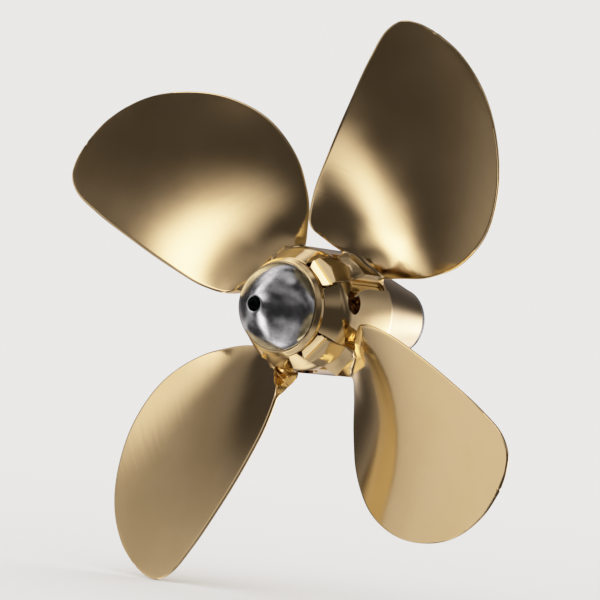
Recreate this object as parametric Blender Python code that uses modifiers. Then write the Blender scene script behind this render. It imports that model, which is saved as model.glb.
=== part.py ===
# Four-blade folding ship propeller, 18 in class, right-handed.
# Metres. The shaft axis is Y, aft is -Y, +Z is up. The origin is on the shaft axis at the
# forward face of the hub, where the shaft enters.
# The work is drawn in a hub frame: local X and Y lie across the shaft and local Z points aft.

import math

import bmesh
import bpy
import numpy as np
from mathutils import Matrix, Vector

MM = 0.001
GAP = 0.3 * MM                       # running and fitting gap between touching pieces

BLADE_COUNT = 4
FIRST_BLADE_ANGLE = math.radians(45.0)
STEPS_ROUND = 64                     # faces around a turned piece
HUB_STEPS = 48

TIP_RADIUS = 228.5 * MM
PITCH = 298.0 * MM                   # advance of the blade surface in one turn
RAKE = 0.20                          # aft lean of the blade, metres per metre of radius
BLADE_START = 84.0 * MM              # where the blade surface would cut the shaft axis

PIN_STATION = 116.0 * MM             # aft of the forward face
PIN_OFFSET = 25.7 * MM               # from the shaft axis
PIN_RADIUS = 6.9 * MM
PIN_BORE_RADIUS = PIN_RADIUS + GAP
PIN_BLIND_END = -18.0 * MM           # along the pin, towards the neighbour's pin
PIN_INNER_END = -17.6 * MM
PIN_OUTER_END = 24.0 * MM
PLUG_LENGTH = 7.0 * MM
PLUG_SOCKET_WIDTH = 6.0 * MM
PLUG_SOCKET_DEPTH = 4.0 * MM

HEAD_RADIUS = 46.0 * MM              # the slotted part of the hub, where the blades are hinged
HEAD_AFT = 139.0 * MM
HEAD_AFT_RADIUS = 36.0 * MM
CREASE_STATION = 128.6 * MM          # where the aft bevel of the head turns into its round side
CREASE_RADIUS = 42.2 * MM
CREASE_ANGLE = math.radians(66.0)    # of the arc behind the crease
HEAD_FULL_STATION = 118.0 * MM
HEAD_FRONT = 71.0 * MM
BOSS_SHOULDER = 62.0 * MM            # the tapered part of the hub in front of the head
BOSS_RADIUS = 41.5 * MM
BOSS_END_RADIUS = 26.0 * MM
EDGE = 1.0 * MM
OUTSIDE = 1.4 * HEAD_RADIUS          # clear of the head all round, for cutters

SOCKET_RADIUS = 20.0 * MM            # counterbore that takes the splined sleeve
SOCKET_DEPTH = 62.0 * MM
THROAT_RADIUS = 14.5 * MM            # collar that the nut bears on
CAVITY_FRONT = 74.0 * MM
CAVITY_RADIUS = 18.0 * MM

KNUCKLE_HALF = 11.7 * MM
SLOT_HALF = KNUCKLE_HALF + GAP
KNUCKLE_RADIUS = 13.0 * MM
SLOT_FRONT = PIN_STATION - KNUCKLE_RADIUS - 2 * GAP
FACET_INNER = (33.2 * MM, 134.0 * MM)        # (distance from the shaft axis, station)
FACET_OUTER = (40.0 * MM, 133.0 * MM)
CROWN_AFT = (53.0 * MM, 114.4 * MM)
CROWN_FRONT = (53.0 * MM, 84.0 * MM)
FOOT_TOP = (45.7 * MM, 76.3 * MM)
RIDGE = (47.3 * MM, 114.3 * MM)              # the round face ends here and the neck leans forward
ROUND_FACE = [(0.9 * MM, 5.7 * MM), (2.3 * MM, 11.5 * MM), (3.8 * MM, 15.7 * MM),
              (5.0 * MM, 20.7 * MM)]         # (in from the ridge, aft of the ridge)
NECK_LEAN = 1.06                             # forward per unit outward
BENCH_RADIUS = 42.0 * MM
BENCH_HALF = 15.7 * MM
BENCH_FRONT = 75.5 * MM
NECK_HALF = 15.0 * MM
NECK_AFT_SWELL = 9.0 * MM
NECK_FRONT_SWELL = 9.0 * MM
NECK_FADE = 10.0 * MM
GROOVE_WIDTH = 1.0 * MM
GROOVE_DEPTH = 1.0 * MM

ROOT_THICKNESS = 12.0 * MM
TIP_THICKNESS = 3.4 * MM
EDGE_THICKNESS = 2.2 * MM
THINNING = 1.6                       # power by which the blade thins from root to tip
FULLNESS = 0.8                       # power of the section's hump: lower is fuller towards the edges

CARRIER_FRONT = HEAD_AFT + GAP
CARRIER_AFT = 145.2 * MM
CARRIER_RADIUS = 35.7 * MM
CARRIER_AFT_RADIUS = 33.2 * MM
SPIGOT_RADIUS = 17.0 * MM

ANODE_RADIUS = 32.2 * MM
ANODE_NOSE = 177.0 * MM
ANODE_HOLE_RADIUS = 5.8 * MM
ANODE_SEAT = 156.0 * MM
ANODE_STUD_RADIUS = 3.3 * MM
ANODE_BLUNTNESS = 1.75               # powers of the anode's domed side
ANODE_FLARE = 0.78
SCREW_HEAD_LENGTH = 5.0 * MM
SCREW_SOCKET_WIDTH = 5.0 * MM
SCREW_SOCKET_DEPTH = 2.3 * MM

SLEEVE_PROUD = 3.5 * MM              # how far its flange stands in front of the hub
SLEEVE_FLANGE = 25.0 * MM
SLEEVE_BORE = 14.0 * MM
SPLINE_COUNT = 12
SPLINE_DEPTH = 1.6 * MM
SPLINE_WIDTH = 3.4 * MM

# Blade outline: distance from the shaft axis in mm, and angle in degrees anticlockwise from the
# blade's root direction, seen from aft. Both edges run from root to tip.
LEADING_EDGE = [(52, -13), (61, -17), (82, -23.5), (102, -25.2), (120, -25), (151, -21), (178, -14),
                (200, -6), (217, 2), (226.6, 10), (228.5, 15)]
TRAILING_EDGE = [(57.3, 35.5), (60, 38.1), (65, 39), (83, 38), (114, 34), (152, 30.2), (189, 27.4),
                 (213, 25.3), (223.5, 23), (227.6, 20), (228.5, 17)]

BRONZE = (0.62, 0.45, 0.25)
DARK_BRONZE = (0.36, 0.24, 0.13)
GREY_METAL = (0.42, 0.43, 0.45)
STEEL = (0.55, 0.55, 0.56)


def clear_scene():
    for item in list(bpy.data.objects):
        bpy.data.objects.remove(item, do_unlink=True)


def make_collection(name):
    group = bpy.data.collections.new(name)
    bpy.context.scene.collection.children.link(group)
    return group


def make_material(name, colour, roughness):
    material = bpy.data.materials.new(name)
    material.use_nodes = True
    shader = material.node_tree.nodes["Principled BSDF"]
    shader.inputs["Base Color"].default_value = (*colour, 1.0)
    shader.inputs["Roughness"].default_value = roughness
    shader.inputs["Metallic"].default_value = 1.0
    return material


def add_object(name, mesh, group, frame, location=(0, 0, 0), rotation=(0, 0, 0)):
    item = bpy.data.objects.new(name, mesh)
    group.objects.link(item)
    item.parent = frame
    item.location = location
    item.rotation_euler = rotation
    return item


def hide_cutter(item):
    item.hide_render = True
    item.display_type = "WIRE"


def finish(item, material, angle=35.0):
    item.data.materials.clear()
    item.data.materials.append(material)
    item.data.shade_smooth()
    item.data.set_sharp_from_angle(angle=math.radians(angle))


def turned(name, profile, group, frame, steps=STEPS_ROUND):
    # profile is a closed list of (radius, station) that runs forward along the outer side first
    mesh = bpy.data.meshes.new(name)
    points = [(radius, 0.0, station) for radius, station in profile]
    edges = [(i, (i + 1) % len(points)) for i in range(len(points))]
    mesh.from_pydata(points, edges, [])
    item = add_object(name, mesh, group, frame)
    screw = item.modifiers.new("turn", "SCREW")
    screw.axis = "Z"
    screw.steps = steps
    screw.render_steps = steps
    screw.use_merge_vertices = True
    screw.merge_threshold = 0.00001
    screw.use_normal_calculate = False
    return item


def cylinder(name, radius, start, end, group, frame, sides=32, axis="Z", location=(0, 0, 0), angle=0.0):
    # a rod from start to end along its own axis, turned to angle about the shaft
    bpy.ops.mesh.primitive_cylinder_add(vertices=sides, radius=radius, depth=end - start)
    item = bpy.context.object
    item.name = name
    for owner in list(item.users_collection):
        owner.objects.unlink(item)
    group.objects.link(item)
    shift = Matrix.Translation((0, 0, (start + end) / 2))
    if axis == "Y":
        shift = Matrix.Rotation(math.radians(-90), 4, "X") @ shift
    item.data.transform(shift)
    item.parent = frame
    item.location = location
    item.rotation_euler = (0, 0, angle)
    return item


def box(name, low, high, group, frame, location=(0, 0, 0), angle=0.0):
    bpy.ops.mesh.primitive_cube_add(size=1.0)
    item = bpy.context.object
    item.name = name
    for owner in list(item.users_collection):
        owner.objects.unlink(item)
    group.objects.link(item)
    low = Vector(low)
    high = Vector(high)
    size = high - low
    item.data.transform(Matrix.Translation((low + high) / 2) @ Matrix.Diagonal((*size, 1.0)))
    item.parent = frame
    item.location = location
    item.rotation_euler = (0, 0, angle)
    return item


def boolean(item, cutter, operation="DIFFERENCE"):
    step = item.modifiers.new(cutter.name, "BOOLEAN")
    step.operation = operation
    step.solver = "EXACT"
    step.object = cutter
    hide_cutter(cutter)


def bake(item, name):
    # the evaluated shape of an object as a mesh of its own
    depsgraph = bpy.context.evaluated_depsgraph_get()
    mesh = bpy.data.meshes.new_from_object(item.evaluated_get(depsgraph))
    mesh.name = name
    return mesh


def pin_place(angle):
    return (PIN_OFFSET * math.cos(angle), PIN_OFFSET * math.sin(angle), PIN_STATION)


def make_hub(parts, cutters, frame, material, angles):
    # from the crease the side runs in a short arc of an ellipse into the full radius
    turn = np.linspace(CREASE_ANGLE, math.radians(90), 4)
    drop = (HEAD_RADIUS - CREASE_RADIUS) / (1 - math.sin(CREASE_ANGLE))
    run = (CREASE_STATION - HEAD_FULL_STATION) / math.cos(CREASE_ANGLE)
    side = [(HEAD_RADIUS - drop * (1 - math.sin(a)), HEAD_FULL_STATION + run * math.cos(a)) for a in turn]
    profile = [(HEAD_AFT_RADIUS, HEAD_AFT), *side, (HEAD_RADIUS, HEAD_FRONT),
               (BOSS_RADIUS, BOSS_SHOULDER), (BOSS_END_RADIUS, EDGE),
               (BOSS_END_RADIUS - EDGE, 0.0), (SOCKET_RADIUS, 0.0),
               (SOCKET_RADIUS, SOCKET_DEPTH), (THROAT_RADIUS, SOCKET_DEPTH),
               (THROAT_RADIUS, CAVITY_FRONT), (CAVITY_RADIUS, CAVITY_FRONT),
               (CAVITY_RADIUS, HEAD_AFT)]
    hub = turned("hub", profile, parts, frame, steps=HUB_STEPS)
    for number, angle in enumerate(angles, 1):
        slot = box(f"slot_cutter_{number}", (0, -SLOT_HALF, SLOT_FRONT),
                   (OUTSIDE, SLOT_HALF, HEAD_AFT + 9 * EDGE), cutters, frame, angle=angle)
        bench = box(f"bench_cutter_{number}", (BENCH_RADIUS, -BENCH_HALF, BENCH_FRONT),
                    (OUTSIDE, BENCH_HALF, PIN_STATION), cutters, frame, angle=angle)
        bore = cylinder(f"pin_bore_cutter_{number}", PIN_BORE_RADIUS, PIN_BLIND_END, OUTSIDE, cutters,
                        frame, axis="Y", location=pin_place(angle), angle=angle)
        boolean(hub, slot)
        boolean(hub, bench)
        boolean(hub, bore)
    finish(hub, material)


def smooth_curve(points, count):
    # a Catmull-Rom curve through the points, evenly spread by chord length and sampled count times
    knots = np.array(points, dtype=float)
    flat = np.column_stack([knots[:, 0], np.radians(knots[:, 1]) * knots[:, 0]])
    steps = np.sqrt(np.hypot(*np.diff(flat, axis=0).T))
    place = np.concatenate([[0], np.cumsum(steps)])
    slope = np.gradient(knots, place, axis=0)
    # samples gather towards the tip, where the outline turns fastest
    wanted = place[-1] * (1 - (1 - np.linspace(0, 1, count)) ** 1.35)
    index = np.clip(np.searchsorted(place, wanted, side="right") - 1, 0, len(place) - 2)
    width = (place[index + 1] - place[index])[:, None]
    t = (wanted - place[index])[:, None] / width
    start, end = knots[index], knots[index + 1]
    out = start * (2 * t ** 3 - 3 * t ** 2 + 1) + end * (3 * t ** 2 - 2 * t ** 3)
    out += slope[index] * width * (t ** 3 - 2 * t ** 2 + t) + slope[index + 1] * width * (t ** 3 - t ** 2)
    return out[:, 0] * MM, np.radians(out[:, 1])


def helical_surface(radius, angle):
    # a point and the aft-facing normal of the blade's constant-pitch surface
    lead = PITCH / (2 * math.pi)
    point = np.stack([radius * np.cos(angle), radius * np.sin(angle),
                      BLADE_START + RAKE * radius + lead * angle], axis=-1)
    along = np.stack([np.cos(angle), np.sin(angle), RAKE + 0 * radius], axis=-1)
    across = np.stack([-radius * np.sin(angle), radius * np.cos(angle), lead + 0 * radius], axis=-1)
    normal = np.cross(along, across)
    return point, normal / np.linalg.norm(normal, axis=-1, keepdims=True)


def thickness_share(v):
    # fuller in the middle of the chord, thin at both edges
    return (4 * v * (1 - v)) ** FULLNESS


def blade_rings(stations=26, chord_points=13):
    # closed sections from root to tip, each with its aft face first and its forward face back again
    lead_r, lead_a = smooth_curve(LEADING_EDGE, stations)
    trail_r, trail_a = smooth_curve(TRAILING_EDGE, stations)
    v = (1 - np.cos(np.linspace(0, math.pi, chord_points))) / 2
    rings = []
    for i in range(stations):
        radius = lead_r[i] + (trail_r[i] - lead_r[i]) * v
        angle = lead_a[i] + (trail_a[i] - lead_a[i]) * v
        middle, normal = helical_surface(radius, angle)
        out = np.clip((TIP_RADIUS - radius) / (TIP_RADIUS - HEAD_RADIUS), 0, 1)
        full = TIP_THICKNESS + (ROOT_THICKNESS - TIP_THICKNESS) * out ** THINNING
        half = (EDGE_THICKNESS + (full - EDGE_THICKNESS) * thickness_share(v)) / 2
        near = np.exp(-(radius - HEAD_RADIUS) / NECK_FADE)
        side = np.clip(1 - (middle[:, 1] / NECK_HALF) ** 2, 0, 1) ** 1.5
        swell = (near * side)[:, None] * np.array([0.0, 0.0, 1.0])
        face = middle + normal * half[:, None] + NECK_AFT_SWELL * swell
        back = middle - normal * half[:, None] - NECK_FRONT_SWELL * swell
        rings.append(np.concatenate([face, back[::-1]]))
    return np.array(rings)


def make_blade_loft(group, frame):
    rings = blade_rings()
    count, around, _ = rings.shape
    points = rings.reshape(-1, 3) - np.array([PIN_OFFSET, 0.0, PIN_STATION])
    faces = []
    for i in range(count - 1):
        for j in range(around):
            k = (j + 1) % around
            faces.append((i * around + j, i * around + k, (i + 1) * around + k, (i + 1) * around + j))
    faces.append(tuple(range(around - 1, -1, -1)))
    faces.append(tuple((count - 1) * around + j for j in range(around)))
    mesh = bpy.data.meshes.new("blade_loft")
    mesh.from_pydata(points.tolist(), [], faces)
    return add_object("blade_loft", mesh, group, frame)


def knuckle_outline():
    # side view of the knuckle: (distance out from the pin axis, distance aft of it)
    arc = [(-KNUCKLE_RADIUS * math.sin(a), KNUCKLE_RADIUS * math.cos(a))
           for a in np.linspace(math.radians(20), math.radians(180), 13)]
    underside = BENCH_RADIUS + GAP
    rest = [(underside, PIN_STATION - KNUCKLE_RADIUS), (underside, FOOT_TOP[1]), FOOT_TOP, CROWN_FRONT,
            CROWN_AFT, FACET_OUTER, FACET_INNER]
    return arc + [(out - PIN_OFFSET, aft - PIN_STATION) for out, aft in rest]


def make_turning_cutter(group, frame):
    # everything outside the round face that the knuckle was turned to, and aft of its neck
    neck = RIDGE[1] - NECK_LEAN * (OUTSIDE - RIDGE[0])
    face = [(RIDGE[0] - fall, RIDGE[1] + aft) for fall, aft in ROUND_FACE]
    profile = [(OUTSIDE, face[-1][1]), (OUTSIDE, neck), RIDGE, *face]
    cutter = turned("turning_cutter", profile, group, frame, steps=2 * STEPS_ROUND)
    cutter.location = (-PIN_OFFSET, 0, -PIN_STATION)
    return cutter


def make_knuckle(group, frame):
    outline = knuckle_outline()
    curve = bpy.data.curves.new("knuckle_outline", "CURVE")
    curve.dimensions = "2D"
    curve.fill_mode = "BOTH"
    curve.extrude = KNUCKLE_HALF
    spline = curve.splines.new("POLY")
    spline.points.add(len(outline) - 1)
    for point, (out, aft) in zip(spline.points, outline):
        point.co = (out, aft, 0.0, 1.0)
    spline.use_cyclic_u = True
    drawn = bpy.data.objects.new("knuckle_outline", curve)
    group.objects.link(drawn)
    bpy.context.view_layer.update()
    mesh = bake(drawn, "knuckle")
    bpy.data.objects.remove(drawn, do_unlink=True)
    weld(mesh)
    mesh.transform(Matrix.Rotation(math.radians(90), 4, "X"))
    return add_object("knuckle", mesh, group, frame)


def weld(mesh):
    work = bmesh.new()
    work.from_mesh(mesh)
    bmesh.ops.remove_doubles(work, verts=work.verts, dist=0.00001)
    bmesh.ops.recalc_face_normals(work, faces=work.faces)
    work.to_mesh(mesh)
    work.free()


def make_blade_mesh(cutters):
    loft = make_blade_loft(cutters, None)
    weld(loft.data)
    knuckle = make_knuckle(cutters, None)
    wide = 2 * KNUCKLE_HALF
    bore = cylinder("knuckle_bore_cutter", PIN_BORE_RADIUS, -wide, wide, cutters, None, axis="Y")
    groove_out = FACET_OUTER[0] - PIN_OFFSET
    groove_aft = FACET_OUTER[1] - PIN_STATION
    groove = box("groove_cutter", (groove_out - GROOVE_WIDTH / 2, -wide, groove_aft - GROOVE_DEPTH),
                 (groove_out + GROOVE_WIDTH / 2, wide, groove_aft + GROOVE_DEPTH), cutters, None)
    turning = make_turning_cutter(cutters, None)
    boolean(knuckle, turning)
    boolean(knuckle, loft, "UNION")
    boolean(knuckle, bore)
    boolean(knuckle, groove)
    bpy.context.view_layer.update()
    mesh = bake(knuckle, "blade")
    for item in (knuckle, loft, bore, groove, turning):
        bpy.data.objects.remove(item, do_unlink=True)
    return mesh


def make_blades(parts, cutters, frame, material, angles):
    mesh = make_blade_mesh(cutters)
    for number, angle in enumerate(angles, 1):
        blade = add_object(f"blade_{number}", mesh, parts, frame, pin_place(angle), (0, 0, angle))
    finish(blade, material, angle=30.0)


def make_pins(parts, frame, material, angles):
    for number, angle in enumerate(angles, 1):
        pin = cylinder(f"hinge_pin_{number}", PIN_RADIUS, PIN_INNER_END, PIN_OUTER_END, parts, frame,
                       axis="Y", location=pin_place(angle), angle=angle)
        finish(pin, material)


def make_plugs(parts, cutters, frame, material, angles):
    start = PIN_OUTER_END + GAP
    end = start + PLUG_LENGTH
    for number, angle in enumerate(angles, 1):
        plug = cylinder(f"pin_plug_{number}", PIN_RADIUS, start, end, parts, frame,
                        axis="Y", location=pin_place(angle), angle=angle)
        socket = cylinder(f"plug_socket_cutter_{number}", PLUG_SOCKET_WIDTH / 2, end - PLUG_SOCKET_DEPTH,
                          end + PLUG_LENGTH, cutters, frame, sides=6, axis="Y",
                          location=pin_place(angle), angle=angle)
        boolean(plug, socket)
        finish(plug, material)


def make_carrier(parts, frame, material):
    profile = [(CARRIER_AFT_RADIUS, CARRIER_AFT), (CARRIER_RADIUS, CARRIER_AFT - 3 * EDGE),
               (CARRIER_RADIUS, CARRIER_FRONT), (SPIGOT_RADIUS, CARRIER_FRONT),
               (SPIGOT_RADIUS, CARRIER_FRONT + EDGE), (ANODE_STUD_RADIUS, CARRIER_FRONT + EDGE),
               (ANODE_STUD_RADIUS, CARRIER_AFT)]
    carrier = turned("anode_carrier", profile, parts, frame)
    finish(carrier, material)


def anode_radius(station):
    # a domed cone: full at the base, rounded over at the nose
    share = (station - CARRIER_AFT) / (ANODE_NOSE - CARRIER_AFT)
    return ANODE_RADIUS * (1 - share ** ANODE_BLUNTNESS) ** ANODE_FLARE


def make_anode(parts, frame, material):
    base = CARRIER_AFT + GAP
    stations = ANODE_NOSE - (ANODE_NOSE - base) * np.linspace(0.035, 1, 14) ** 1.3
    outer = [(anode_radius(z), z) for z in stations]
    profile = [(ANODE_HOLE_RADIUS, outer[0][1])] + outer
    profile += [(ANODE_STUD_RADIUS + GAP, base), (ANODE_STUD_RADIUS + GAP, ANODE_SEAT),
                (ANODE_HOLE_RADIUS, ANODE_SEAT)]
    anode = turned("anode", profile, parts, frame)
    finish(anode, material)


def make_anode_screw(parts, cutters, frame, material):
    start = ANODE_SEAT + GAP
    end = start + SCREW_HEAD_LENGTH
    head = cylinder("anode_screw", ANODE_HOLE_RADIUS - GAP, start, end, parts, frame)
    socket = cylinder("screw_socket_cutter", SCREW_SOCKET_WIDTH / 2, end - SCREW_SOCKET_DEPTH,
                      end + SCREW_SOCKET_DEPTH, cutters, frame, sides=6)
    shank = cylinder("screw_shank_cutter", ANODE_STUD_RADIUS - GAP, CARRIER_FRONT + 2 * EDGE,
                     start + EDGE, cutters, frame, sides=24)
    boolean(head, shank, "UNION")
    boolean(head, socket)
    finish(head, material)


def make_sleeve(parts, cutters, frame, material):
    outer = SOCKET_RADIUS - GAP
    front = -SLEEVE_PROUD
    aft = SOCKET_DEPTH - GAP
    profile = [(outer, aft), (outer, -GAP), (SLEEVE_FLANGE, -GAP), (SLEEVE_FLANGE, front),
               (SLEEVE_BORE, front), (SLEEVE_BORE, aft)]
    sleeve = turned("splined_sleeve", profile, parts, frame)
    for number in range(SPLINE_COUNT):
        angle = 2 * math.pi * number / SPLINE_COUNT
        key = box(f"spline_cutter_{number}", (0.8 * SLEEVE_BORE, -SPLINE_WIDTH / 2, front - EDGE),
                  (SLEEVE_BORE + SPLINE_DEPTH, SPLINE_WIDTH / 2, aft + EDGE), cutters, frame, angle=angle)
        boolean(sleeve, key)
    finish(sleeve, material)


def main():
    clear_scene()
    parts = make_collection("folding_propeller")
    cutters = make_collection("cutters")
    frame = bpy.data.objects.new("shaft_frame", None)
    parts.objects.link(frame)
    frame.rotation_euler = (math.radians(90), 0, 0)
    angles = [FIRST_BLADE_ANGLE + 2 * math.pi * k / BLADE_COUNT for k in range(BLADE_COUNT)]
    bronze = make_material("bronze", BRONZE, 0.25)
    dark_bronze = make_material("dark_bronze", DARK_BRONZE, 0.4)
    anode_metal = make_material("anode_metal", GREY_METAL, 0.35)
    steel = make_material("steel", STEEL, 0.3)
    make_hub(parts, cutters, frame, bronze, angles)
    make_blades(parts, cutters, frame, bronze, angles)
    make_pins(parts, frame, steel, angles)
    make_plugs(parts, cutters, frame, dark_bronze, angles)
    make_carrier(parts, frame, bronze)
    make_anode(parts, frame, anode_metal)
    make_anode_screw(parts, cutters, frame, steel)
    make_sleeve(parts, cutters, frame, steel)
    bpy.context.view_layer.update()


main()
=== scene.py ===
# Folding ship propeller with four hinged blades, in polished and belt-ground bronze.
# The blades, hub, anode plate and anode are made again here, finer than the solids and mostly to their
# sizes. The hinge pins, plugs, screw and splined sleeve keep their solids and get a finish.
import math

import bmesh
import bpy
import numpy as np
from mathutils import Matrix, Vector


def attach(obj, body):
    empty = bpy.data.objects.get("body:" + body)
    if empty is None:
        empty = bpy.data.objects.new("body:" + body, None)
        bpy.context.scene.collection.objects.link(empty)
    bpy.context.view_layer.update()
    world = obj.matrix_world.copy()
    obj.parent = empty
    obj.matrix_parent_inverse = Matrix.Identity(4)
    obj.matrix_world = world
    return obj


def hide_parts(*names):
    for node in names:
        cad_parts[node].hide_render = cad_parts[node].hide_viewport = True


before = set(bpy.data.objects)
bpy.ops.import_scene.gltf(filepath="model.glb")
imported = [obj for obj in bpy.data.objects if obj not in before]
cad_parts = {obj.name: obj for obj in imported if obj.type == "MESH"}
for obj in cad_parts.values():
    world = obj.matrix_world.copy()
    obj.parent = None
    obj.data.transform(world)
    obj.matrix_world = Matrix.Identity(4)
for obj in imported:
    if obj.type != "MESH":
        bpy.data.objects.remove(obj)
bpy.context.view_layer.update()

scene = bpy.context.scene
mm = 0.001
bladeAngles = [math.radians(45 + 90 * k) for k in range(4)]    # round the shaft, from +X towards +Z
cutterReach = 1.4    # how far cutters run out from the shaft, in head radii


def toRow(across, up, aft):
    # hub frame (two axes across the shaft, one aft along it) to the row's frame, where aft is -Y
    return np.stack([across, -aft, up], axis=-1)


def gridFaces(rows, columns, wrap):
    # quads between neighbours of a rows x columns grid, its columns joined end to end when wrap is set
    i, j = np.meshgrid(np.arange(rows - 1), np.arange(columns if wrap else columns - 1), indexing="ij")
    k = (j + 1) % columns
    quads = [i * columns + j, i * columns + k, (i + 1) * columns + k, (i + 1) * columns + j]
    return np.stack(quads, axis=-1).reshape(-1, 4).tolist()


def newMesh(name, points, faces, merge=0.002 * mm):
    # a mesh from points and faces, doubles merged and faces turned outwards
    mesh = bpy.data.meshes.new(name)
    mesh.from_pydata(np.asarray(points).reshape(-1, 3).tolist(), [], faces)
    work = bmesh.new()
    work.from_mesh(mesh)
    bmesh.ops.remove_doubles(work, verts=work.verts, dist=merge)
    bmesh.ops.recalc_face_normals(work, faces=work.faces)
    work.to_mesh(mesh)
    work.free()
    return mesh


def newObject(name, data):
    item = bpy.data.objects.new(name, data)
    scene.collection.objects.link(item)
    return item


def readAll(items, key, width, kind=float):
    # one property of all points, edges or faces as an array
    values = np.empty(len(items) * width, dtype=kind)
    items.foreach_get(key, values)
    return values.reshape(-1, width) if width > 1 else values


def settle(name, body, steps, tools=()):
    # the mesh as its modifiers leave it: steps is a list of (kind, settings)
    item = newObject(name, body)
    for n, (kind, settings) in enumerate(steps):
        step = item.modifiers.new(f"step_{n}", kind)
        for key, value in settings.items():
            setattr(step, key, value)
    made = bpy.data.meshes.new_from_object(item.evaluated_get(bpy.context.evaluated_depsgraph_get()))
    made.name = name
    for old in [item, *tools]:
        bpy.data.objects.remove(old, do_unlink=True)
    return made


def carve(name, body, cutters, operation="DIFFERENCE"):
    # exact boolean of one mesh with others
    tools = [newObject(f"{name}_tool_{n}", cutter) for n, cutter in enumerate(cutters)]
    steps = [("BOOLEAN", {"operation": operation, "solver": "EXACT", "object": tool}) for tool in tools]
    return settle(name, body, steps, tools)


def ease(mesh, width, angle=35, segments=3, flat=0.5, merge=0.02 * mm):
    # small round bevels on edges over the angle, as a deburred casting has them; first, faces that turn by
    # less than the flat angle become one, so that no bevel starts at a seam
    work = bmesh.new()
    work.from_mesh(mesh)
    bmesh.ops.dissolve_limit(work, angle_limit=math.radians(flat), verts=work.verts, edges=work.edges)
    bmesh.ops.remove_doubles(work, verts=work.verts, dist=merge)
    work.to_mesh(mesh)
    work.free()
    bevel = {"limit_method": "ANGLE", "angle_limit": math.radians(angle), "width": width,
             "segments": segments, "use_clamp_overlap": False, "miter_outer": "MITER_ARC"}
    return settle(mesh.name, mesh, [("BEVEL", bevel)])


def shade(mesh, angle=32):
    # smooth but for edges over the angle; normals weighted by face area keep long flats flat beside rounds
    mesh.shade_smooth()
    mesh.set_sharp_from_angle(angle=math.radians(angle))
    weights = {"mode": "FACE_AREA", "weight": 50, "keep_sharp": True}
    return settle(mesh.name, mesh, [("WEIGHTED_NORMAL", weights)])


def roundOff(profile, radii, steps=5, most=0.45):
    # each corner of a closed profile becomes an arc: start x (1 - t)^2 + corner x 2t (1 - t) + end x t^2;
    # start and end lie a radius back along its two sides, but no further than most x the shorter side
    corner = np.array(profile, dtype=float)
    back, ahead = np.roll(corner, 1, axis=0) - corner, np.roll(corner, -1, axis=0) - corner
    lengthBack, lengthAhead = np.linalg.norm(back, axis=1), np.linalg.norm(ahead, axis=1)
    cut = np.minimum(np.array(radii, dtype=float), most * np.minimum(lengthBack, lengthAhead))
    start = corner + back * (cut / lengthBack)[:, None]
    end = corner + ahead * (cut / lengthAhead)[:, None]
    t = np.linspace(0, 1, steps)[None, :, None]
    arc = start[:, None] * (1 - t) ** 2 + corner[:, None] * 2 * t * (1 - t) + end[:, None] * t ** 2
    return arc.reshape(-1, 2)


def turn(name, profile, steps=256):
    # a closed profile of (radius, station) carried round the shaft axis:
    # across = radius x cos(angle), up = radius x sin(angle), aft = station
    profile = np.asarray(profile)
    angle = np.linspace(0, 2 * math.pi, steps, endpoint=False)
    radius, aft = profile[:, :1], profile[:, 1:]
    points = toRow(radius * np.cos(angle), radius * np.sin(angle), aft + 0 * angle)
    rows = np.concatenate([points, points[:1]])
    return newMesh(name, rows, gridFaces(len(rows), steps, True))


def boxMesh(name, low, high, angle=0.0):
    # a cutter: a block in the hub frame, turned by the angle about the shaft:
    # across = x cos(angle) - y sin(angle), up = x sin(angle) + y cos(angle), aft = z
    x, y, z = [grid.ravel() for grid in np.meshgrid(*zip(low, high), indexing="ij")]
    c, s = math.cos(angle), math.sin(angle)
    faces = [(0, 1, 3, 2), (4, 6, 7, 5), (0, 4, 5, 1), (2, 3, 7, 6), (0, 2, 6, 4), (1, 5, 7, 3)]
    return newMesh(name, toRow(x * c - y * s, x * s + y * c, z), faces)


def rodMesh(name, radius, start, end, centre, angle=0.0, sides=64):
    # a cutter: a rod along a hinge line, round centre (distance from the shaft, station): across = centre +
    # radius x cos(around), aft = centre + radius x sin(around), turned about the shaft as a block is
    around = np.linspace(0, 2 * math.pi, sides, endpoint=False)
    along = np.array([start, end])[:, None] + 0 * around
    x = centre[0] + radius * np.cos(around) + 0 * along
    z = centre[1] + radius * np.sin(around) + 0 * along
    c, s = math.cos(angle), math.sin(angle)
    points = toRow(x * c - along * s, x * s + along * c, z)
    caps = [tuple(range(sides)), tuple(range(sides, 2 * sides))]
    return newMesh(name, points, gridFaces(2, sides, True) + caps)


def linear(code):
    # sRGB hex to linear red, green, blue
    share = [int(code[i:i + 2], 16) / 255 for i in (1, 3, 5)]
    return tuple(c / 12.92 if c <= 0.04045 else ((c + 0.055) / 1.055) ** 2.4 for c in share)


def addNode(tree, kind, settings=None, **links):
    # one node, its plain settings, its input values and its links: i0 or i1 is an input by number, any other
    # key an input by name, and a socket as value makes a link
    node = tree.nodes.new(kind)
    for key, value in (settings or {}).items():
        setattr(node, key, value)
    for key, value in links.items():
        spot = int(key[1:]) if key[0] == "i" and key[1:].isdigit() else key.replace("_", " ")
        if isinstance(value, bpy.types.NodeSocket):
            tree.links.new(value, node.inputs[spot])
        else:
            node.inputs[spot].default_value = value
    return node


def newMaterial(name):
    # a material with an empty node tree
    material = bpy.data.materials.new(name)
    material.use_nodes = True
    material.node_tree.nodes.clear()
    return material, material.node_tree


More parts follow.
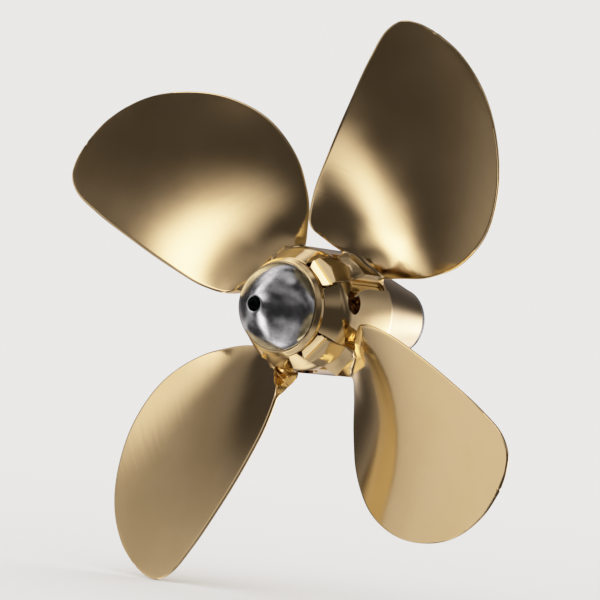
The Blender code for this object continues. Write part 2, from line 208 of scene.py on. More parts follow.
def metal(name, dark, light, roughness, spread, patch, lines, wave=None, grain=None):
    # metal of two close tones in soft patches, with up to three bumps: lines (kind, width, depth) left by
    # the tool, a slow wave (length, depth) left by hand grinding, and a cast grain (size, depth); real feed
    # marks and belt lines are 0.1 mm or finer, too fine to show, so they are drawn as wide as each call says
    material, tree = newMaterial(name)
    place = addNode(tree, "ShaderNodeTexCoord").outputs["Object"]
    cloud = addNode(tree, "ShaderNodeTexNoise", Vector=place, Scale=1 / patch, Detail=4.0, Roughness=0.55)
    blend = addNode(tree, "ShaderNodeMapRange", {"interpolation_type": "SMOOTHSTEP"},
                    Value=cloud.outputs["Fac"], From_Min=0.35, From_Max=0.65)
    tone = addNode(tree, "ShaderNodeMix", {"data_type": "RGBA"}, Factor=blend.outputs[0],
                   i6=(*linear(dark), 1), i7=(*linear(light), 1))
    rough = addNode(tree, "ShaderNodeMapRange", Value=cloud.outputs["Fac"], From_Min=0.3, From_Max=0.7,
                    To_Min=roughness - spread, To_Max=roughness + spread)
    kind, width, depth = lines
    source = place
    if kind == "belt":    # the place on the unturned blade, so that all four are ground alike
        source = addNode(tree, "ShaderNodeAttribute", {"attribute_name": "bladePlace"}).outputs["Vector"]
    axes = addNode(tree, "ShaderNodeSeparateXYZ", Vector=source)
    flat = addNode(tree, "ShaderNodeCombineXYZ", X=axes.outputs["X"], Y=axes.outputs["Z"])
    radius = addNode(tree, "ShaderNodeVectorMath", {"operation": "LENGTH"}, i0=flat.outputs[0])
    second = axes.outputs["Y"]    # turned rings: the pattern knows only radius and station
    if kind == "belt":    # lines fine in radius and half a radian long: angle round the shaft x 2 widths
        angle = addNode(tree, "ShaderNodeMath", {"operation": "ARCTAN2"}, i0=axes.outputs["Z"],
                        i1=axes.outputs["X"])
        second = addNode(tree, "ShaderNodeMath", {"operation": "MULTIPLY"}, i0=angle.outputs[0],
                         i1=2 * width).outputs[0]
    track = addNode(tree, "ShaderNodeCombineXYZ", X=radius.outputs["Value"], Y=second)
    fine = addNode(tree, "ShaderNodeTexNoise", Vector=track.outputs[0], Scale=1 / width, Detail=3.0)
    bump = addNode(tree, "ShaderNodeBump", Height=fine.outputs["Fac"], Strength=1.0, Distance=depth)
    for extra, detail in ((wave, 0.0), (grain, 3.0)):
        if extra:
            size, height = extra
            swell = addNode(tree, "ShaderNodeTexNoise", Vector=place, Scale=1 / size, Detail=detail)
            bump = addNode(tree, "ShaderNodeBump", Height=swell.outputs["Fac"], Strength=1.0,
                           Distance=height, Normal=bump.outputs[0])
    body = addNode(tree, "ShaderNodeBsdfPrincipled", Base_Color=tone.outputs[2], Metallic=1.0,
                   Roughness=rough.outputs[0], Normal=bump.outputs[0])
    addNode(tree, "ShaderNodeOutputMaterial", Surface=body.outputs[0])
    return material


# nickel aluminium bronze, turned and polished: a gold mirror with fine rings round the shaft
turnedBronze = metal("turned_bronze", "#E3CB93", "#E9D39D", roughness=0.09, spread=0.015, patch=22 * mm,
                     lines=("turned", 0.5 * mm, 0.0015 * mm), wave=(26 * mm, 0.05 * mm))
# the same bronze belt-ground and buffed by hand: soft reflections whose borders waver
beltBronze = metal("belt_ground_bronze", "#E4CC94", "#E9D29C", roughness=0.11, spread=0.02, patch=45 * mm,
                   lines=("belt", 6 * mm, 0.025 * mm), wave=(34 * mm, 0.09 * mm))
# bronze plugs deep in the pin holes, left as cut and browned by heat and oil: a dull dark brown
brownBronze = metal("browned_bronze", "#4A2C1A", "#6E4527", roughness=0.4, spread=0.08, patch=5 * mm,
                    lines=("turned", 0.5 * mm, 0.004 * mm), grain=(0.8 * mm, 0.05 * mm))
# cast zinc alloy, turned and buffed: blue-grey with cloudy patches and a pitted cast grain
buffedZinc = metal("buffed_zinc", "#9CA7AA", "#CAD6D9", roughness=0.17, spread=0.06, patch=8 * mm,
                   lines=("turned", 0.8 * mm, 0.004 * mm), wave=(14 * mm, 0.03 * mm),
                   grain=(0.9 * mm, 0.012 * mm))
# stainless steel pins and sleeve, ground: neutral grey with fine rings
groundSteel = metal("ground_stainless_steel", "#A0A9AB", "#B6C0C2", roughness=0.24, spread=0.04,
                    patch=10 * mm, lines=("turned", 0.4 * mm, 0.002 * mm))
# the screw deep in the anode's hole, its steel painted near black as painted shade for the dark hole: a dark
# grey with hardly a reflection
shadeDarkScrewSteel = metal("screw_steel_painted_shade_dark", "#262829", "#333536", roughness=0.5, spread=0.05, patch=6 * mm,
                   lines=("turned", 0.4 * mm, 0.002 * mm))
print("finishes made")


def dress(item, material, body, slot, *nodes):
    # finish, body, material slot (not used) and the solids that a piece stands for
    item.data.materials.clear()
    item.data.materials.append(material)
    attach(item, body)
    if nodes:
        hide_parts(*nodes)


blade = dict(
    tipRadius=228.5 * mm, headRadius=46 * mm, pitch=298 * mm, rake=0.20, start=84 * mm,
    rootThickness=12 * mm, tipThickness=3.4 * mm, edgeThickness=2.2 * mm, thinning=1.6, fullness=0.8,
    # outline as (distance from the shaft in mm, angle in degrees from the blade's own direction)
    leading=[(52, -13), (61, -17), (82, -23.5), (102, -25.2), (120, -25), (151, -21), (178, -14),
             (200, -6), (217, 2), (226.6, 10), (228.5, 15)],
    trailing=[(57.3, 35.5), (60.5, 37.9), (65, 39), (83, 38), (114, 34), (152, 30.2), (189, 27.4),
              (213, 25.3), (223.5, 23), (227.6, 20), (228.5, 17)],
    aftShare=0.2,       # of the thickness hump, the part on the flat aft face
    rootRim=0.2,        # where the rolled edge starts at the root, as a share of its width
    neckHalf=15 * mm, neckAftSwell=5 * mm, neckFade=10 * mm, neckPower=1.5,
    # how far the root's line sags towards the hub, how fast that fades, and half its share of the chord
    rootDip=6 * mm, rootDipFade=8 * mm, rootDipHalf=0.42,
    # root web on the forward face: its station at a radius, its slope, its slant beyond the trailing and the
    # leading side of the knuckle, and the rounding where it meets the sheet
    webFront=84 * mm, webRadius=50 * mm, webSlope=1.0, webSlants=(1, 2), webSoft=1.2 * mm,
    stations=150, chordPoints=49,    # of the grid
    meltReach=9 * mm, meltEdge=1.1 * mm, meltRounds=40,    # how the neck runs into the sheet
)
knuckle = dict(
    pinOffset=25.7 * mm, pinStation=116 * mm, radius=13 * mm, half=11.7 * mm, bore=7.2 * mm,
    # side view as (distance from the shaft, station), and the degrees between which its ring runs
    facetInner=(33.9 * mm, 136.8 * mm), facetOuter=(39.3 * mm, 134.6 * mm),
    crownAft=(53.0 * mm, 117.1 * mm), crownFront=(53.0 * mm, 84.0 * mm), footTop=(45.7 * mm, 76.3 * mm),
    underside=42.3 * mm, ringFrom=20, ringTo=180, ringPoints=41,
    ridge=(46.9 * mm, 115.2 * mm), lean=1.06,    # where the neck's cone starts, and its slope
    roundFace=[(0.9, 4.3), (2.0, 9.8), (3.1, 14.3), (4.8, 19.4)],    # mm in from the ridge, mm aft of it
    fold=67, foldGap=0.8 * mm, foldBar=20 * mm,    # degrees, room left to the neighbour, the cutter's size
    groove=1.1 * mm, grooveDepth=1.6 * mm, edgeRound=0.5 * mm,
)
lead = blade["pitch"] / (2 * math.pi)    # metres aft for each radian round the shaft


def smoothCurve(outline, count, gather=1.35):
    # a cubic through (radius, angle) knots, from each to the next as t goes from 0 to 1:
    # knot x (2t^3 - 3t^2 + 1) + next x (3t^2 - 2t^3) + slope x (t^3 - 2t^2 + t) + next slope x (t^3 - t^2);
    # each stretch counts as the root of its knots' distance, and the samples lie at
    # 1 - (1 - share) ^ gather of the whole, so they are gathered towards the tip
    knots = np.array(outline, dtype=float)
    flat = np.column_stack([knots[:, 0], np.radians(knots[:, 1]) * knots[:, 0]])
    run = np.concatenate([[0], np.cumsum(np.sqrt(np.hypot(*np.diff(flat, axis=0).T)))])
    slope = np.gradient(knots, run, axis=0)
    wanted = run[-1] * (1 - (1 - np.linspace(0, 1, count)) ** gather)
    index = np.clip(np.searchsorted(run, wanted, side="right") - 1, 0, len(run) - 2)
    width = (run[index + 1] - run[index])[:, None]
    t = (wanted - run[index])[:, None] / width
    first, last = knots[index], knots[index + 1]
    curve = first * (2 * t ** 3 - 3 * t ** 2 + 1) + last * (3 * t ** 2 - 2 * t ** 3)
    curve += slope[index] * width * (t ** 3 - 2 * t ** 2 + t) + slope[index + 1] * width * (t ** 3 - t ** 2)
    return curve[:, 0] * mm, np.radians(curve[:, 1])


def sheetMiddle(radius, angle):
    # helicoid: aft = start + rake x radius + lead x angle, with the normal of that surface
    point = np.stack([radius * np.cos(angle), radius * np.sin(angle),
                      blade["start"] + blade["rake"] * radius + lead * angle], axis=-1)
    along = np.stack([np.cos(angle), np.sin(angle), blade["rake"] + 0 * radius], axis=-1)
    across = np.stack([-radius * np.sin(angle), radius * np.cos(angle), lead + 0 * radius], axis=-1)
    normal = np.cross(along, across)
    return point, normal / np.linalg.norm(normal, axis=-1, keepdims=True)


def thickness(radius, v):
    # thins from root to tip by a power, and along the chord as (4v (1 - v)) ^ fullness over a constant edge;
    # the aft face gets its small share of the hump and the forward face the rest
    out = np.clip((blade["tipRadius"] - radius) / (blade["tipRadius"] - blade["headRadius"]), 0, 1)
    added = (blade["rootThickness"] - blade["tipThickness"]) * out ** blade["thinning"]
    full = blade["tipThickness"] + added
    hump = (full - blade["edgeThickness"]) * np.clip(4 * v * (1 - v), 0, 1) ** blade["fullness"]
    half = blade["edgeThickness"] / 2
    return half + blade["aftShare"] * hump, half + (1 - blade["aftShare"]) * hump


def neckSwell(radius, across):
    # share of the neck's extra thickness:
    # e^(-(radius - head radius) / fade) x (1 - (across / half)^2) ^ power
    near = np.exp(-(radius - blade["headRadius"]) / blade["neckFade"])
    return near * np.clip(1 - (across / blade["neckHalf"]) ** 2, 0, 1) ** blade["neckPower"]


def rootWeb(radius, across):
    # station of the web that carries the trailing side of the root: front + slope x (radius - web radius)
    # + slant x distance beyond that side of the knuckle
    beyond = np.maximum(np.abs(across) - knuckle["half"], 0)
    station = blade["webFront"] + blade["webSlope"] * (radius - blade["webRadius"])
    return station + np.where(across > 0, *blade["webSlants"]) * beyond


def sheetMesh():
    # the grid runs from root to tip (u) and across the chord (v): middle + normal x half thickness on the
    # aft face, middle - normal x half thickness on the forward face
    stations, chord = blade["stations"], blade["chordPoints"]
    leadR, leadA = smoothCurve(blade["leading"], stations)
    trailR, trailA = smoothCurve(blade["trailing"], stations)
    v = (1 - np.cos(np.linspace(0, math.pi, chord))) / 2
    radius = leadR[:, None] + (trailR - leadR)[:, None] * v
    sag = blade["rootDip"] * np.clip(1 - ((v - 0.5) / blade["rootDipHalf"]) ** 2, 0, 1)
    radius = radius - sag * np.exp((radius[:1] - radius) / blade["rootDipFade"])
    angle = leadA[:, None] + (trailA - leadA)[:, None] * v
    middle, normal = sheetMiddle(radius, angle)
    aftHalf, frontHalf = thickness(radius, v)
    # towards the rim the thickness follows a quarter circle to nothing: root of 1 - (1 - distance / rim)^2
    width = np.linalg.norm(middle[:, -1] - middle[:, 0], axis=-1)[:, None]
    toEdge = width * np.minimum(v, 1 - v)
    toTip = np.linalg.norm(middle[-1:] - middle, axis=-1)
    toRoot = np.linalg.norm(middle - middle[:1], axis=-1)
    rim = blade["edgeThickness"] / 2
    bend = 1.0
    for away in (toEdge, toTip, toRoot + blade["rootRim"] * rim):
        bend = bend * np.sqrt(1 - (1 - np.clip(away / rim, 0, 1)) ** 2)
    face = middle + normal * (aftHalf * bend)[..., None]
    rear = middle - normal * (frontHalf * bend)[..., None]
    face[..., 2] += blade["neckAftSwell"] * neckSwell(radius, middle[..., 1])
    # the further forward of the face and the web, rounded where they meet:
    # -soft x log(e^(-a / soft) + e^(-b / soft))
    soft = blade["webSoft"]
    rear[..., 2] = -soft * np.logaddexp(-rear[..., 2] / soft, -rootWeb(radius, middle[..., 1]) / soft)
    ring = np.concatenate([face, rear[:, -2:0:-1]], axis=1)
    around = ring.shape[1]
    caps = [tuple(range(around)), tuple(range((stations - 1) * around, stations * around))]
    return newMesh("sheet", toRow(ring[..., 0], ring[..., 1], ring[..., 2]),
                   gridFaces(stations, around, True) + caps)


def knuckleProfile():
    # side view of the knuckle as (distance from the shaft, station): round the pin as
    # (offset - radius x sin(turn), station + radius x cos(turn)), along the foot, over the crown
    turns = np.linspace(math.radians(knuckle["ringFrom"]), math.radians(knuckle["ringTo"]),
                        knuckle["ringPoints"])
    arc = np.stack([knuckle["pinOffset"] - knuckle["radius"] * np.sin(turns),
                    knuckle["pinStation"] + knuckle["radius"] * np.cos(turns)], axis=-1)
    rest = [(knuckle["underside"], knuckle["pinStation"] - knuckle["radius"]),
            (knuckle["underside"], knuckle["footTop"][1]), knuckle["footTop"], knuckle["crownFront"],
            knuckle["crownAft"], knuckle["facetOuter"], knuckle["facetInner"]]
    return np.concatenate([arc, rest])


def knuckleBlock():
    # the side view carried straight across the blade, half the knuckle's width to either side
    side = knuckleProfile()
    n = len(side)
    across = np.array([-1, 1])[:, None] * knuckle["half"] + 0 * side[:, 0]
    points = toRow(side[:, 0] + 0 * across, across, side[:, 1] + 0 * across)
    caps = [tuple(range(n)), tuple(range(n, 2 * n))]
    return newMesh("knuckle", points, gridFaces(2, n, True) + caps)


def turningCutter():
    # all that lies outside the round face and aft of the neck's cone
    far = cutterReach * blade["headRadius"]
    out, aft = knuckle["ridge"]
    face = [(out - fall * mm, aft + back * mm) for fall, back in knuckle["roundFace"]]
    cone = [(far, face[-1][1]), (far, aft - knuckle["lean"] * (far - out)), (out, aft)]
    return turn("turning", cone + face)


def foldCutter(name, side):
    # what would reach the neighbour's knuckle when folded: a bar on one side of the line y = x - gap,
    # drawn as it lies at full fold and turned back about the pin
    far, gap, fold = knuckle["foldBar"], knuckle["foldGap"], math.radians(knuckle["fold"])
    x = np.array([gap, gap + far, -far, -far]) - knuckle["pinOffset"]
    along = np.array([-2 * far, 2 * far])[:, None]
    out = knuckle["pinOffset"] + x * math.cos(fold) + along * math.sin(fold)
    aft = knuckle["pinStation"] - x * math.sin(fold) + along * math.cos(fold)
    points = toRow(out, side * np.array([0, far, far, 0]) + 0 * out, aft)
    return newMesh(name, points, gridFaces(2, 4, True) + [(0, 1, 2, 3), (4, 5, 6, 7)])


def nearest(points, targets):
    # distance of each point to the closest target: root of |p|^2 + |t|^2 - 2 p.t
    square = (points ** 2).sum(axis=1)[:, None] + (targets ** 2).sum(axis=1) - 2 * points @ targets.T
    return np.sqrt(np.maximum(square.min(axis=1), 0))


def splitLong(mesh, targets, reach, limit, rounds=7):
    # edges longer than the limit are halved wherever they lie near the head and within reach of the targets
    near = 2 * blade["headRadius"]
    work = bmesh.new()
    work.from_mesh(mesh)
    for again in range(rounds):
        work.to_mesh(mesh)
        co, ends = readAll(mesh.vertices, "co", 3), readAll(mesh.edges, "vertices", 2, np.int32)
        length = np.linalg.norm(co[ends[:, 1]] - co[ends[:, 0]], axis=1)
        long = np.flatnonzero((length > limit) & (np.hypot(co[ends[:, 0], 0], co[ends[:, 0], 2]) < near))
        long = long[nearest(co[ends[long]].mean(axis=1), targets) < reach + length[long] / 2]
        if not len(long):
            break
        work.edges.ensure_lookup_table()
        bmesh.ops.subdivide_edges(work, edges=[work.edges[i] for i in long], cuts=1)
        bmesh.ops.triangulate(work, faces=[f for f in work.faces if len(f.verts) > 3])
        work.edges.index_update()
    work.to_mesh(mesh)
    work.free()


def melt(mesh, reach, limit, rounds, most=0.5):
    # points near the line where two materials meet move towards the mean of their neighbours, in each round
    # by most x (3 share^2 - 2 share^3), with share = 1 - distance / reach
    work = bmesh.new()
    work.from_mesh(mesh)
    bmesh.ops.triangulate(work, faces=work.faces)
    work.to_mesh(mesh)
    work.free()
    corner = readAll(mesh.loops, "vertex_index", 1, np.int32)
    owner = np.repeat(readAll(mesh.polygons, "material_index", 1, np.int32),
                      readAll(mesh.polygons, "loop_total", 1, np.int32))
    inFirst, inSecond = [np.bincount(corner[owner == n], minlength=len(mesh.vertices)) > 0 for n in (0, 1)]
    crease = readAll(mesh.vertices, "co", 3)[inFirst & inSecond]
    splitLong(mesh, crease, reach, limit)
    co, ends = readAll(mesh.vertices, "co", 3), readAll(mesh.edges, "vertices", 2, np.int32)
    share = np.clip(1 - nearest(co, crease) / reach, 0, 1)
    pull = most * (3 * share ** 2 - 2 * share ** 3)[:, None]
    count = np.bincount(ends.ravel(), minlength=len(co))[:, None]
    for again in range(rounds):
        total = np.stack([np.bincount(ends[:, 0], co[ends[:, 1], axis], len(co))
                          + np.bincount(ends[:, 1], co[ends[:, 0], axis], len(co)) for axis in range(3)],
                         axis=-1)
        co += pull * (total / count - co)
    mesh.vertices.foreach_set("co", co.ravel())
    mesh.update()


def bladeMesh():
    # the eased knuckle and the sheet in one, melted together where they meet, then grooved and bored;
    # bladePlace keeps each point's place on this unturned blade
    cutters = [turningCutter(), foldCutter("fold_left", -1), foldCutter("fold_right", 1)]
    block = ease(carve("knuckle", knuckleBlock(), cutters), knuckle["edgeRound"])
    sheet = sheetMesh()
    for n, part in enumerate((block, sheet)):
        part.materials.append(turnedBronze)
        part.materials.append(beltBronze)
        part.polygons.foreach_set("material_index", np.full(len(part.polygons), n, dtype=np.int32))
    whole = carve("blade", block, [sheet], "UNION")
    melt(whole, blade["meltReach"], blade["meltEdge"], blade["meltRounds"])
    whole.polygons.foreach_set("material_index", np.zeros(len(whole.polygons), dtype=np.int32))
    out, aft = knuckle["facetOuter"]
    half, deep, through = knuckle["groove"] / 2, knuckle["grooveDepth"], 2 * knuckle["half"]
    groove = boxMesh("groove", (out - half, -through, aft - deep), (out + half, through, aft + deep))
    bore = rodMesh("bore", knuckle["bore"], -through, through, (knuckle["pinOffset"], knuckle["pinStation"]))
    whole = shade(carve("blade", whole, [bore, groove]))
    mark = whole.attributes.new("bladePlace", "FLOAT_VECTOR", "POINT")
    mark.data.foreach_set("vector", readAll(whole.vertices, "co", 3).ravel())
    return whole


bladeShape = bladeMesh()
for k, angle in enumerate(bladeAngles, 1):
    shape = bladeShape.copy()
    shape.transform(Matrix.Rotation(-angle, 4, "Y"))
    dress(newObject(f"bronze_blade_{k}", shape), beltBronze, f"blade_{k}_body", "blade_bronze", f"blade_{k}")
print("blades made", len(bladeShape.polygons))

hub = dict(
    radius=46 * mm, aft=139 * mm, aftRadius=36 * mm,    # the head and its aft end
    creaseStation=128.6 * mm, creaseRadius=42.2 * mm, creaseAngle=66, fullStation=118 * mm, arcPoints=12,
    front=71 * mm, shoulder=62 * mm, bossRadius=41.5 * mm, endRadius=26 * mm, endChamfer=1 * mm,
    socket=20 * mm, socketDepth=62 * mm, throat=14.5 * mm, cavityFront=74 * mm, cavity=18 * mm,    # bore
    slotHalf=12 * mm, slotFront=102.4 * mm, slotOver=9 * mm,
    benchRadius=42 * mm, benchHalf=15.7 * mm, benchFront=75.5 * mm,    # the flat in front of each slot
    bore=7.2 * mm, boreStart=-18 * mm, edgeRound=0.35 * mm,
)


def hubMesh():
    # turned profile: aft bevel, short arc of an ellipse into the full radius, shoulder, boss that narrows
    # forward; the arc is (full radius - drop x (1 - sin(bend)), full station + run x cos(bend))
    bend = np.linspace(math.radians(hub["creaseAngle"]), math.radians(90), hub["arcPoints"])
    drop = (hub["radius"] - hub["creaseRadius"]) / (1 - math.sin(bend[0]))
    run = (hub["creaseStation"] - hub["fullStation"]) / math.cos(bend[0])
    arc = np.stack([hub["radius"] - drop * (1 - np.sin(bend)), hub["fullStation"] + run * np.cos(bend)],
                   axis=-1)
    outer = [(hub["radius"], hub["front"]), (hub["bossRadius"], hub["shoulder"]),
             (hub["endRadius"], hub["endChamfer"]), (hub["endRadius"] - hub["endChamfer"], 0)]
    inner = [(hub["socket"], 0), (hub["socket"], hub["socketDepth"]), (hub["throat"], hub["socketDepth"]),
             (hub["throat"], hub["cavityFront"]), (hub["cavity"], hub["cavityFront"]),
             (hub["cavity"], hub["aft"])]
    body = turn("hub", np.concatenate([[(hub["aftRadius"], hub["aft"])], arc, outer, inner]))
    far = cutterReach * hub["radius"]
    pin = (knuckle["pinOffset"], knuckle["pinStation"])
    cutters, bores = [], []
    for n, angle in enumerate(bladeAngles):
        cutters.append(boxMesh(f"slot_{n}", (0, -hub["slotHalf"], hub["slotFront"]),
                               (far, hub["slotHalf"], hub["aft"] + hub["slotOver"]), angle))
        cutters.append(boxMesh(f"bench_{n}", (hub["benchRadius"], -hub["benchHalf"], hub["benchFront"]),
                               (far, hub["benchHalf"], knuckle["pinStation"]), angle))
        bores.append(rodMesh(f"bore_{n}", hub["bore"], hub["boreStart"], far, pin, angle))
    return shade(carve("hub", ease(carve("hub", body, cutters), hub["edgeRound"]), bores))


dress(newObject("bronze_hub", hubMesh()), turnedBronze, "hub_body", "bronze", "hub")
print("hub made")

plate = dict(
    front=139.3 * mm, aft=145.2 * mm, radius=35.7 * mm, aftRadius=33.2 * mm, bevel=3 * mm,
    spigot=17 * mm, spigotStep=1 * mm, stud=3.3 * mm,
    rounds=[0.5 * mm, 0.6 * mm, 0.3 * mm, 0.3 * mm, 0.3 * mm, 0.2 * mm, 0.2 * mm],    # corner by corner
)


def plateMesh():
    # turned profile from the aft rim over the bevel and the front face to the hole for the stud
    step = plate["front"] + plate["spigotStep"]
    profile = [(plate["aftRadius"], plate["aft"]), (plate["radius"], plate["aft"] - plate["bevel"]),
               (plate["radius"], plate["front"]), (plate["spigot"], plate["front"]),
               (plate["spigot"], step), (plate["stud"], step), (plate["stud"], plate["aft"])]
    return shade(turn("anode_plate", roundOff(profile, plate["rounds"])))


dress(newObject("bronze_anode_plate", plateMesh()), turnedBronze, "hub_body", "bronze", "anode_carrier")
print("anode plate made")

anode = dict(
    radius=32.2 * mm, base=145.5 * mm, nose=177 * mm, bluntness=1.75, flare=0.78, domePoints=60,
    hole=5.8 * mm, seat=156 * mm, stud=3.6 * mm,
    lip=0.5 * mm, lipDrop=0.3, lipRun=0.4,    # rounded lip of the hole, and shares of it
    hardAngle=40,
)


def anodeMesh():
    # domed cone: radius x (1 - share ^ bluntness) ^ flare, with share the way from the plate to the nose; it
    # stops at the lip of the screw hole
    rim = (anode["hole"] + anode["lip"]) / anode["radius"]
    stop = (1 - rim ** (1 / anode["flare"])) ** (1 / anode["bluntness"])
    height = anode["nose"] - plate["aft"]
    share = np.linspace(stop, (anode["base"] - plate["aft"]) / height, anode["domePoints"])
    outer = np.stack([anode["radius"] * (1 - share ** anode["bluntness"]) ** anode["flare"],
                      plate["aft"] + share * height], axis=-1)
    top = outer[0, 1]
    inner = [(anode["stud"], anode["base"]), (anode["stud"], anode["seat"]), (anode["hole"], anode["seat"]),
             (anode["hole"], top - anode["lipDrop"] * anode["lip"]),
             (anode["hole"] + anode["lipRun"] * anode["lip"], top)]
    return shade(turn("anode", np.concatenate([outer, inner])), anode["hardAngle"])


dress(newObject("cast_anode", anodeMesh()), buffedZinc, "hub_body", "anode_metal", "anode")
print("anode made")

# solids that stay, by the start of their names
# the anode screw's near-black finish is painted shade standing in for the shadow in its deep hole
finishes = {"hinge_pin": groundSteel, "pin_plug": brownBronze, "anode_screw": shadeDarkScrewSteel,
            "splined_sleeve": groundSteel}
for name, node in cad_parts.items():
    for start, finish in finishes.items():
        if name.startswith(start):
            node.data.materials.clear()
            node.data.materials.append(finish)
print("solids finished")

studio = dict(
    pale="#EDEBE7", backdrop=1.0, lampTone="#FFECEA", ambient=0.03,
    # the floor's middle, its radius, and the distances between which it fades out, in metres
    floorPlace=(0, -0.09, -0.208), floorRadius=6.0, floorSides=96, floorFade=(0.5, 2.2), floorLight=0.95,
    filmSpeed=2.0, filmWhite=3.0, filmShares=(0.01, 0.025, 0.05, 0.09, 0.14, 0.2, 0.28, 0.38, 0.5, 0.7),
    boxEdge=1.5, boxReach=0.02,    # how square a box's fade is, and the least cosine from its middle
    # soft boxes: azimuth (0 towards -Y, + towards +X), elevation, half width, half height, roll, all in
    # degrees, and brightness; those beyond 115 degrees either way stand forward of the propeller, where they
    # show in grazing rims and light the views from behind
    softBoxes=[
        (-18, 36, 22, 7, -19, 2.2),
        (4, 29, 19, 9.5, -43, 0.7),
        (-5, -27, 4.5, 23, -8, 0.72),
        (-27, -52, 18, 5.5, 6, 1.12),
        (-60, -12, 27, 22, 48, 0.6),
        (-107, -19, 17, 3.3, -28, 0.4),
        (-35, 21, 6, 29, 44, 0.8),
        (-63, 24, 12, 26, 46, 0.11),
        (37, 47, 60, 10, -25, 0.15),
        (-24, -53, 29, 7, 47, 1.6),
        (5, -19, 7, 2.7, -28, 0.6),
        (-33, 37, 32, 20, 82, 0.17),
        (0, 85, 12, 12, 0, 0.4),
        (58, 69, 8, 8, 0, 0.6),
        (-128, -66, 14, 14, 0, 1.0),
        (-125, 59, 14, 10, 0, 0.6),
        (-52, 45, 7, 7, 0, 1.0),
        (0, -85, 25, 25, 0, 0.45),
        (-45, 8, 14, 9, 0, 0.1),
        (-80, 60, 20, 15, 0, 0.85),
        (-45, 55, 12, 10, 0, 0.9),
        (60, 20, 12, 14, 0, 0.1),
        (64, -47, 22, 15, 0, 0.32),
        (120, 28, 20, 16, 0, 0.4),
        (140, -20, 10, 10, 0, 0.35),
        (150, 5, 25, 16, 0, 0.25),
        (150, 60, 25, 15, 0, 0.12),
        (150, -62, 25, 15, 0, 0.15),
        (160, -5, 10, 10, 0, 2.0),
        (165, -15, 12, 12, 0, 2.2),
        (172, -3, 10, 10, 0, 1.8),
        (188, -10, 12, 12, 0, 1.2),
        (195, -28, 20, 18, 0, 0.45),
        (180, 35, 25, 14, 0, 0.12),
        (-130, -20, 20, 18, 0, 0.45),
        (-140, 25, 20, 18, 0, 0.15),
    ],
)


def floorMaterial():
    # matt painted board: even and dull, and it fades out with distance, so no edge shows
    material, tree = newMaterial("matt_pale_floor")
    place = addNode(tree, "ShaderNodeTexCoord").outputs["Object"]
    far = addNode(tree, "ShaderNodeVectorMath", {"operation": "LENGTH"}, i0=place)
    start, end = studio["floorFade"]
    fade = addNode(tree, "ShaderNodeMapRange", {"interpolation_type": "SMOOTHSTEP"},
                   Value=far.outputs["Value"], From_Min=start, From_Max=end)
    paint = addNode(tree, "ShaderNodeBsdfDiffuse", Color=(*linear(studio["pale"]), 1))
    clear = addNode(tree, "ShaderNodeBsdfTransparent")
    both = addNode(tree, "ShaderNodeMixShader", Fac=fade.outputs[0], i1=paint.outputs[0],
                   i2=clear.outputs[0])
    addNode(tree, "ShaderNodeOutputMaterial", Surface=both.outputs[0])
    return material


def layFloor():
    # a round board under the propeller, one flat polygon: (radius x cos(angle), radius x sin(angle), 0)
    sides, radius = studio["floorSides"], studio["floorRadius"]
    angle = np.linspace(0, 2 * math.pi, sides, endpoint=False)
    mesh = bpy.data.meshes.new("floor")
    edge = np.stack([radius * np.cos(angle), radius * np.sin(angle), 0 * angle], axis=-1)
    mesh.from_pydata(edge.tolist(), [], [tuple(range(sides))])
    floor = newObject("floor", mesh)
    floor.location = studio["floorPlace"]
    floor.data.materials.append(floorMaterial())
    floor.visible_glossy = False
    floor.visible_shadow = False


def softBox(tree, way, before, azimuth, elevation, wide, high, roll, bright):
    # before + brightness x e^(-((x / wide)^2 + (y / high)^2) ^ edge), in the plane that touches the sphere
    # at the box's middle; the mapping turns and scales the view, and the bracket is
    # (x^2 + y^2 + z^2) / z^2 - 1
    a, e, r = math.radians(azimuth), math.radians(elevation), math.radians(roll)
    out = Vector((math.sin(a) * math.cos(e), -math.cos(a) * math.cos(e), math.sin(e)))
    level = Vector((math.cos(a), math.sin(a), 0))
    steep = out.cross(level)
    side = level * math.cos(r) + steep * math.sin(r)
    over = steep * math.cos(r) - level * math.sin(r)
    turned = Matrix((side, over, out)).transposed().to_euler()
    size = (math.tan(math.radians(wide)), math.tan(math.radians(high)), 1)
    seen = addNode(tree, "ShaderNodeMapping", {"vector_type": "TEXTURE"}, Vector=way, Rotation=turned,
                   Scale=size).outputs[0]
    z = addNode(tree, "ShaderNodeSeparateXYZ", Vector=seen).outputs["Z"]
    square = addNode(tree, "ShaderNodeMath", {"operation": "MULTIPLY"}, i0=z, i1=z).outputs[0]
    away = addNode(tree, "ShaderNodeVectorMath", {"operation": "DOT_PRODUCT"}, i0=seen, i1=seen)
    away = away.outputs["Value"]
    for operation, value in (("DIVIDE", square), ("SUBTRACT", 1.0), ("POWER", studio["boxEdge"])):
        away = addNode(tree, "ShaderNodeMath", {"operation": operation}, i0=away, i1=value).outputs[0]
    fall = addNode(tree, "ShaderNodeMath", {"operation": "POWER"}, i0=math.exp(-1), i1=away)
    front = addNode(tree, "ShaderNodeMath", {"operation": "GREATER_THAN"}, i0=z, i1=studio["boxReach"])
    lamp = addNode(tree, "ShaderNodeMath", {"operation": "MULTIPLY"}, i0=front.outputs[0], i1=bright)
    return addNode(tree, "ShaderNodeMath", {"operation": "MULTIPLY_ADD"}, i0=fall.outputs[0],
                   i1=lamp.outputs[0], i2=before).outputs[0]


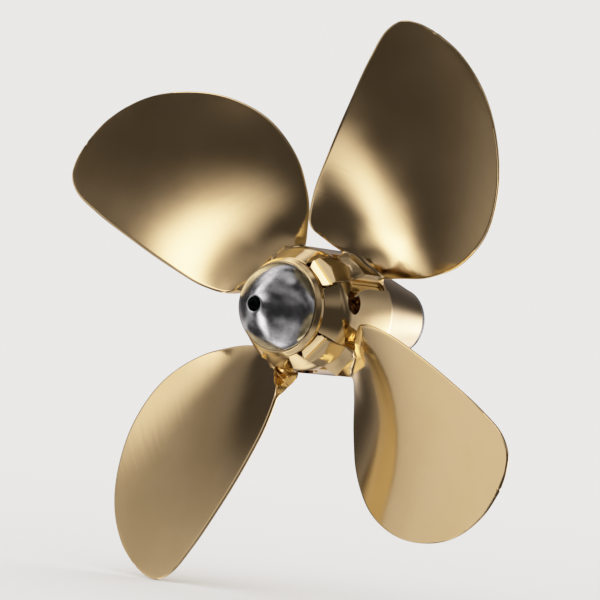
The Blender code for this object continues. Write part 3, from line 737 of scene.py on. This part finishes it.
def lightStudio():
    # the metal reflects the soft boxes, the floor is lit evenly, and the camera sees a plain pale backdrop
    world = bpy.data.worlds.new("studio")
    scene.world = world
    world.use_nodes = True
    world.cycles.sampling_method = "NONE"
    tree = world.node_tree
    tree.nodes.clear()
    way = addNode(tree, "ShaderNodeTexCoord").outputs["Generated"]
    glow = addNode(tree, "ShaderNodeValue").outputs[0]
    glow.default_value = studio["ambient"]
    for box in studio["softBoxes"]:
        glow = softBox(tree, way, glow, *box)
    ray = addNode(tree, "ShaderNodeLightPath")
    lit = addNode(tree, "ShaderNodeBackground", Color=(*linear(studio["lampTone"]), 1), Strength=glow)
    fill = addNode(tree, "ShaderNodeBackground", Color=(1, 1, 1, 1), Strength=studio["floorLight"])
    plain = addNode(tree, "ShaderNodeBackground", Color=(*linear(studio["pale"]), 1),
                    Strength=studio["backdrop"])
    soft = addNode(tree, "ShaderNodeMixShader", Fac=ray.outputs["Is Diffuse Ray"], i1=lit.outputs[0],
                   i2=fill.outputs[0])
    seen = addNode(tree, "ShaderNodeMixShader", Fac=ray.outputs["Is Camera Ray"], i1=soft.outputs[0],
                   i2=plain.outputs[0])
    addNode(tree, "ShaderNodeOutputWorld", Surface=seen.outputs[0])


def exposeFilm():
    # film-like response: shown = 1 - e^(-speed x light), so bright reflections roll off softly;
    # the curve's share 1 stands for light as bright as filmWhite
    strength = studio["filmSpeed"] * studio["filmWhite"]
    scene.view_settings.view_transform = "Standard"
    scene.view_settings.use_curve_mapping = True
    mapping = scene.view_settings.curve_mapping
    mapping.white_level = (studio["filmWhite"],) * 3
    points = mapping.curves[3].points
    points[0].location = (0, 0)
    points[-1].location = (1, 1 - math.exp(-strength))
    for share in studio["filmShares"]:
        points.new(share, 1 - math.exp(-strength * share))
    mapping.update()


shot = dict(
    place=(1.28682229, -1.83050426, -0.03247893), ahead=(-0.60134812, 0.79877904, 0.01823438),
    over=(-0.06955961, -0.07507479, 0.99474883), lens=177.3, sensor=36.0, clipEnd=100.0,
)


def placeCamera():
    # looks along ahead, with over upwards in the frame
    camera = newObject("camera", bpy.data.cameras.new("camera"))
    camera.data.lens = shot["lens"]
    camera.data.sensor_width = shot["sensor"]
    camera.data.clip_end = shot["clipEnd"]
    ahead = Vector(shot["ahead"]).normalized()
    right = ahead.cross(Vector(shot["over"]).normalized()).normalized()
    turned = Matrix((right, right.cross(ahead), -ahead)).transposed().to_4x4()
    camera.matrix_world = Matrix.Translation(shot["place"]) @ turned
    scene.camera = camera


layFloor()
lightStudio()
placeCamera()
exposeFilm()
print("stage, lights and camera made")
